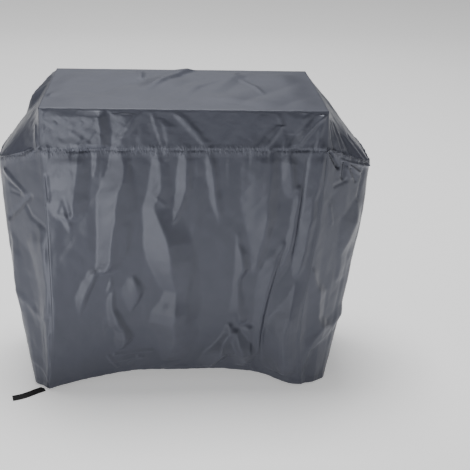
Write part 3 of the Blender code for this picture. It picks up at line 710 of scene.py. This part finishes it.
def dent_relief(dent, across, lower, middle=0.0):
    """How far the flat facets of one kind of dent stand out, from folded unevenness; the
    middle is the share of their height that stays level."""
    slanted = across * DENT_SLANT[0] + lower * DENT_SLANT[1]
    crossing = lower * DENT_SLANT[0] - across * DENT_SLANT[1]
    size, smaller = dent.size, dent.size * SECOND_DENT_SIZE
    first = np.abs(wander(dent.seed, slanted, crossing, size, size * DENT_LENGTH))
    second = np.abs(wander(dent.seed + 1, crossing, slanted, smaller, size))
    first, second = np.sqrt(first ** 2 + DENT_SOFTNESS), np.sqrt(second ** 2 + DENT_SOFTNESS)
    return dent.out * (first + SECOND_DENT_SHARE * second - middle)


def edge_fade(along, down, width, height, fade):
    """0 on a sewn edge and 1 inside it, over the fade's distances; no lower one is a hem."""
    share = smooth(np.minimum(along, 1.0 - along) * width / fade.sides)
    share *= smooth(down * height / fade.upper)
    return share if fade.lower is None else share * smooth((1.0 - down) * height / fade.lower)


def raised(base, along, down, relief):
    """The base surface's points moved out along their normals by the relief."""
    across = base(along + NORMAL_STEP, down) - base(along - NORMAL_STEP, down)
    downward = base(along, down + NORMAL_STEP) - base(along, down - NORMAL_STEP)
    normal = np.cross(downward.T, across.T).T
    return base(along, down) + normal / np.linalg.norm(normal, axis=0) * relief


def side_width(side):
    """The length of a side's gathered seam, corner to corner."""
    points = skirt_base(side, np.linspace(0.0, 1.0, 21), np.zeros(21))
    return float(np.linalg.norm(np.diff(points, axis=1), axis=0).sum())


def puckers(side, metres):
    """The gathering's small ruffles along a seam, -1 to 1, shared by yoke and skirt."""
    seed = PUCKER_SEED + list(SIDE_POINTS).index(side)
    level = 0.0 * metres
    fine = wander(seed, metres, level, FINE_PUCKER, 1.0)
    return PUCKER_SHARE * fine + PUCKER_SHARE * wander(seed + 10, metres, level, WIDE_PUCKER, 1.0)


def hanging(side, along, down, width, wobble):
    """How far the skirt's folds and ridges stand out together."""
    relief = ridge_relief(SKIRT_RIDGES[side], along + wobble / width, down, width, 1.0)
    return relief + fold_relief(side, along, down, width) if FOLDS[side] else relief


def seam_bulge(side, along, width):
    """How far the gathered seam itself follows the skirt's folds."""
    return SEAM_SHARE * hanging(side, along, 0.0 * along, width, 0.0)


def crowded(share, amount):
    """A share from 0 to 1 with its steps made finer towards both ends."""
    return share - amount * np.sin(2.0 * np.pi * share) / (2.0 * np.pi)


def cloth_sheet(name, surface, cells, thickness, material):
    """A fine sheet: a bmesh grid whose points are moved onto a surface of two shares, with
    the surface's own lengths across and down, in metres, kept as its UV map, and each
    point's distance from the gathered seam as an attribute."""
    shape = bmesh.new()
    bmesh.ops.create_grid(shape, x_segments=cells[0], y_segments=cells[1], size=0.5)
    mesh = bpy.data.meshes.new(name)
    shape.to_mesh(mesh)
    shape.free()
    flat = np.zeros(len(mesh.vertices) * 3)
    mesh.vertices.foreach_get("co", flat)
    flat = flat.reshape(-1, 3)
    points, across, lower, to_seam = surface(flat[:, 0] + 0.5, 0.5 - flat[:, 1])
    mesh.vertices.foreach_set("co", np.ascontiguousarray(points.T).ravel())
    corners = np.zeros(len(mesh.loops), dtype=int)
    mesh.loops.foreach_get("vertex_index", corners)
    layer = mesh.uv_layers.new(name="metres")
    layer.data.foreach_set("uv", np.stack([across[corners], -lower[corners]], axis=1).ravel())
    mesh.attributes.new("to_seam", "FLOAT", "POINT").data.foreach_set("value", to_seam)
    mesh.update()
    mesh.shade_smooth()
    mesh.materials.append(material)
    piece = bpy.data.objects.new(name, mesh)
    bpy.context.scene.collection.objects.link(piece)
    wall = piece.modifiers.new("thickness", "SOLIDIFY")
    wall.thickness = thickness
    wall.offset = -1.0
    return piece


def make_top(material):
    """The top panel, rolled over into its seam all round."""
    def surface(column, row):
        along, down = crowded(column, TOP_CROWDING), crowded(row, TOP_CROWDING)
        across, lower = along * TOP_WIDTH, down * TOP_DEPTH
        relief = crease_relief(TOP_CREASES, along, down, TOP_WIDTH, TOP_DEPTH)
        relief *= edge_fade(along, down, TOP_WIDTH, TOP_DEPTH, TOP_CREASE_FADE)
        swell = wave_relief(TOP_SWELL, across, lower) + dent_relief(TOP_DENT, across, lower)
        relief += swell * edge_fade(along, down, TOP_WIDTH, TOP_DEPTH, TOP_SWELL_FADE)
        from_sides, from_ends = np.minimum(along, 1 - along), np.minimum(down, 1 - down)
        inside = np.minimum(from_sides * TOP_WIDTH, from_ends * TOP_DEPTH)
        rim = np.clip(1.0 - inside / TOP_ROLL, 0.0, 1.0)
        relief -= TOP_ROLL * (1.0 - np.sqrt(np.maximum(1.0 - rim ** 2, 0.0)))
        relief += wave_relief(TOP_RIM_WAVE, across, lower) * smooth(1.0 - inside / RIM_WAVE_REACH)
        return raised(top_base, along, down, relief), across, lower, UNGATHERED + 0.0 * lower
    piece = cloth_sheet("top_cloth", surface, TOP_CELLS, CLOTH, material)
    return piece


def make_yoke(side, material):
    """One side of the yoke: turned under at the top seam, puckered at the gathered seam."""
    width = side_width(side)
    height = -BACK_SEAM if side in ("front", "back") else SIDE_YOKE_DROP

    def base(along, down):
        return yoke_base(side, along, down)

    def surface(column, row):
        along, down = crowded(column, SIDE_CROWDING), crowded(row, DROP_CROWDING)
        across, lower, to_seam = along * width, down * height, (1.0 - down) * height
        relief = crease_relief(YOKE_CREASES[side], along, down, width, height)
        wobble = wave_relief(YOKE_WOBBLE, across, lower)
        ridges = ridge_relief(YOKE_RIDGES[side], along + wobble / width, down, width)
        relief += ridges * smooth(lower / YOKE_RIDGE_FADE) * smooth(to_seam / YOKE_RIDGE_FADE)
        dents = dent_relief(YOKE_DENT, across, lower) + dent_relief(YOKE_SMALL_DENT, across, lower)
        if side == "front":
            dents *= 1.0 + CRUSHED_MORE * smooth(1.0 - along / CRUSHED_SHARE)
        relief += dents
        relief *= edge_fade(along, down, width, height, YOKE_FADE)
        relief += seam_bulge(side, along, width) * smooth(1.0 - to_seam / BULGE_REACH)
        relief += YOKE_PUCKER * puckers(side, across) * np.exp(-to_seam / PUCKER_REACH)
        relief += BAND_OUT * smooth(1.0 - lower / SEAM_BAND) - YOKE_TURN * smooth(1.0 - lower / TOP_ROLL)
        return raised(base, along, down, relief), across, lower, to_seam
    piece = cloth_sheet(f"yoke_{side}_cloth", surface, YOKE_CELLS[side], CLOTH, material)
    return piece


def make_skirt(side, material):
    """One side of the skirt: gathered behind the yoke's seam, with a hem turned up inside."""
    width = side_width(side)
    height = BACK_SEAM - BACK_HEM

    def base(along, down):
        return skirt_base(side, along, down)

    def surface(column, row):
        along = crowded(column, SIDE_CROWDING)
        lower = -SEAM_LAP + (height + SEAM_LAP + HEM_DEPTH) * crowded(row, DROP_CROWDING)
        turned = np.maximum(lower - height, 0.0)
        down = (lower - 2.0 * turned) / height
        across = along * width
        wobble = wave_relief(SKIRT_WOBBLE, across, lower) + wave_relief(SKIRT_DRIFT, across, lower)
        wobble *= smooth(lower / WOBBLE_START)
        folds = hanging(side, along, np.maximum(down, 0.0), width, wobble)
        relief = folds * (1.0 - SEAM_SHARE) * smooth(lower / FOLD_START)
        relief += crease_relief(SKIRT_CREASES[side], along, down, width, height)
        relief += dent_relief(SKIRT_DENT, across, lower, DENT_MIDDLE)
        relief += wave_relief(SKIRT_WAVE, across, lower)
        relief += dent_relief(SKIRT_SMALL_DENT, across, lower, DENT_MIDDLE)
        relief *= edge_fade(along, np.maximum(down, 0.0), width, height, SKIRT_FADE)
        relief += SEAM_SHARE * folds
        to_seam = np.abs(down) * height
        ruffled = SKIRT_PUCKER * np.exp(-to_seam / PUCKER_REACH)
        ruffled += LONG_PUCKER * np.exp(-to_seam / LONG_PUCKER_REACH)
        relief += puckers(side, across) * ruffled
        relief -= SEAM_STEP * smooth(1.0 - (lower + STEP_START) / STEP_REACH)
        relief -= SEAM_GROOVE * smooth(1.0 - np.minimum(along, 1.0 - along) * width / GROOVE_REACH)
        hem = smooth((lower - height + HEM_DEPTH) / HEM_EDGE)
        relief += HEM_OUT * hem
        relief += hem * wave_relief(HEM_WAVE, across, lower)
        relief -= HEM_OFFSET * smooth(turned / HEM_EDGE)
        return raised(base, along, down, relief), across, lower, to_seam
    piece = cloth_sheet(f"skirt_{side}_cloth", surface, SKIRT_CELLS[side], CLOTH, material)
    return piece


def make_tie(material):
    """The webbing tie, flat on the ground."""
    route = np.array(TIE_ROUTE).T
    shares = np.linspace(0.0, 1.0, route.shape[1])

    def middle(at):
        return eased(shares, [route[:, [index]] for index in range(route.shape[1])], at, TIE_EASE)

    def surface(column, row):
        run = middle(column + TIE_RUN_STEP) - middle(column - TIE_RUN_STEP)
        sideways = np.stack([-run[1], run[0], 0.0 * run[0]])
        sideways /= np.linalg.norm(sideways, axis=0)
        lift = np.stack([0.0 * row, 0.0 * row, TIE_LIFT * row * smooth(column / TIE_LIFT_SHARE)])
        points = middle(column) + sideways * TIE_WIDTH * (0.5 - row) + lift
        return points, column * TIE_WEAVE_LENGTH, row * TIE_WIDTH, UNGATHERED + 0.0 * row
    piece = cloth_sheet("webbing_tie", surface, TIE_CELLS, TIE_THICKNESS, material)
    path = middle(np.linspace(0.0, 1.0, TIE_PATH_POINTS)).T
    path[:, 2] -= 0.5 * TIE_THICKNESS
    return piece


def new_material(name):
    """A new node material and its Principled shader."""
    material = bpy.data.materials.new(name)
    material.use_nodes = True
    return material, material.node_tree.nodes["Principled BSDF"]


def cover_cloth_material():
    """Grey coated polyester: a soft sheen along the threads, faint cloudiness, a fine weave,
    and fine crinkles near the gathered seam."""
    material, shader = new_material("cover_cloth")
    nodes, links = material.node_tree.nodes, material.node_tree.links
    shader.inputs["Roughness"].default_value = 0.36
    shader.inputs["Specular IOR Level"].default_value = 0.75
    shader.inputs["Specular Tint"].default_value = CLOTH_SHEEN
    shader.inputs["Anisotropic"].default_value = 0.85
    shader.inputs["Anisotropic Rotation"].default_value = 0.25
    threads = nodes.new("ShaderNodeTangent")
    threads.direction_type = "UV_MAP"
    threads.uv_map = "metres"
    links.new(threads.outputs["Tangent"], shader.inputs["Tangent"])

    spot = nodes.new("ShaderNodeTexCoord")
    cloud = nodes.new("ShaderNodeTexNoise")
    cloud.inputs["Scale"].default_value = 14.0
    cloud.inputs["Detail"].default_value = 4.0
    links.new(spot.outputs["Object"], cloud.inputs["Vector"])
    tint = nodes.new("ShaderNodeValToRGB")
    tint.color_ramp.elements[0].position = 0.3
    tint.color_ramp.elements[0].color = CLOTH_DARKER
    tint.color_ramp.elements[1].position = 0.7
    tint.color_ramp.elements[1].color = CLOTH_LIGHTER
    links.new(cloud.outputs["Fac"], tint.inputs["Fac"])
    links.new(tint.outputs["Color"], shader.inputs["Base Color"])

    weave = nodes.new("ShaderNodeTexNoise")
    weave.inputs["Scale"].default_value = 900.0
    links.new(spot.outputs["Object"], weave.inputs["Vector"])
    woven = nodes.new("ShaderNodeBump")
    woven.inputs["Strength"].default_value = 0.12
    woven.inputs["Distance"].default_value = 0.0004
    links.new(weave.outputs["Fac"], woven.inputs["Height"])

    near = nodes.new("ShaderNodeAttribute")
    near.attribute_name = "to_seam"
    gathered = nodes.new("ShaderNodeMapRange")
    gathered.interpolation_type = "SMOOTHSTEP"
    gathered.inputs["From Max"].default_value = 0.030
    gathered.inputs["To Min"].default_value = 1.0
    gathered.inputs["To Max"].default_value = 0.0
    links.new(near.outputs["Fac"], gathered.inputs["Value"])
    laid = nodes.new("ShaderNodeUVMap")
    laid.uv_map = "metres"
    stretched = nodes.new("ShaderNodeMapping")
    stretched.inputs["Scale"].default_value = (1.0, 0.4, 1.0)
    links.new(laid.outputs["UV"], stretched.inputs["Vector"])
    crinkle = nodes.new("ShaderNodeTexNoise")
    crinkle.inputs["Scale"].default_value = 110.0
    crinkle.inputs["Detail"].default_value = 2.0
    links.new(stretched.outputs["Vector"], crinkle.inputs["Vector"])
    crinkled = nodes.new("ShaderNodeMath")
    crinkled.operation = "MULTIPLY"
    links.new(crinkle.outputs["Fac"], crinkled.inputs[0])
    links.new(gathered.outputs["Result"], crinkled.inputs[1])
    ruffled = nodes.new("ShaderNodeBump")
    ruffled.inputs["Strength"].default_value = 1.0
    ruffled.inputs["Distance"].default_value = 0.005
    links.new(crinkled.outputs["Value"], ruffled.inputs["Height"])
    links.new(woven.outputs["Normal"], ruffled.inputs["Normal"])
    links.new(ruffled.outputs["Normal"], shader.inputs["Normal"])
    return material


def tie_material():
    """Matte black webbing."""
    material, shader = new_material("tie_webbing")
    shader.inputs["Base Color"].default_value = WEBBING_BLACK
    shader.inputs["Roughness"].default_value = 0.8
    return material


def pale_floor():
    """The pale floor that the cover stands on."""
    material, shader = new_material("pale_floor")
    shader.inputs["Base Color"].default_value = FLOOR_PALE
    shader.inputs["Roughness"].default_value = 0.9
    shader.inputs["Emission Color"].default_value = WHITE
    shader.inputs["Emission Strength"].default_value = 0.44
    shape = bmesh.new()
    bmesh.ops.create_grid(shape, x_segments=1, y_segments=1, size=FLOOR_HALF)
    bmesh.ops.translate(shape, verts=shape.verts, vec=FLOOR_MIDDLE)
    mesh = bpy.data.meshes.new("pale_floor")
    shape.to_mesh(mesh)
    shape.free()
    mesh.materials.append(material)
    floor = bpy.data.objects.new("pale_floor", mesh)
    bpy.context.scene.collection.objects.link(floor)


def studio_lights():
    """An even white surround and the softboxes."""
    world = bpy.data.worlds.new("studio")
    bpy.context.scene.world = world
    world.use_nodes = True
    world.node_tree.nodes["Background"].inputs["Color"].default_value = WHITE
    world.node_tree.nodes["Background"].inputs["Strength"].default_value = SKY_STRENGTH
    for softbox in SOFTBOXES:
        lamp = bpy.data.lights.new(softbox.name, "AREA")
        lamp.shape = "RECTANGLE"
        lamp.size, lamp.size_y = softbox.size
        lamp.energy = softbox.watts
        light = bpy.data.objects.new(softbox.name, lamp)
        aim = Vector(softbox.target) - Vector(softbox.place)
        light.location = softbox.place
        light.rotation_euler = aim.to_track_quat("-Z", "Y").to_euler()
        bpy.context.scene.collection.objects.link(light)


def photo_camera():
    """The camera at the photograph's place and angle."""
    forward = Vector((math.sin(CAMERA_YAW) * math.cos(CAMERA_PITCH),
                      math.cos(CAMERA_YAW) * math.cos(CAMERA_PITCH), math.sin(CAMERA_PITCH)))
    level = Vector((math.cos(CAMERA_YAW), -math.sin(CAMERA_YAW), 0.0))
    upright = level.cross(forward)
    right = level * math.cos(CAMERA_ROLL) + upright * math.sin(CAMERA_ROLL)
    up = upright * math.cos(CAMERA_ROLL) - level * math.sin(CAMERA_ROLL)
    data = bpy.data.cameras.new("photo_camera")
    data.lens = CAMERA_LENS
    data.sensor_width = CAMERA_SENSOR
    camera = bpy.data.objects.new("photo_camera", data)
    turn = Matrix((right, up, -forward)).transposed().to_4x4()
    camera.matrix_world = Matrix.Translation(CAMERA_PLACE) @ turn
    bpy.context.scene.collection.objects.link(camera)
    bpy.context.scene.camera = camera


def dress():
    """Every piece on its body, in its finish, for its node."""
    cloth = cover_cloth_material()
    pieces = {"top_panel": make_top(cloth)}
    for side in SIDE_POINTS:
        pieces["yoke_" + side] = make_yoke(side, cloth)
        pieces["skirt_" + side] = make_skirt(side, cloth)
    for node, piece in pieces.items():
        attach(piece, "root")
        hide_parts(node)
    tie = make_tie(tie_material())
    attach(tie, "root")
    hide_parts("hem_tie")


photo_camera()
pale_floor()
studio_lights()
dress()
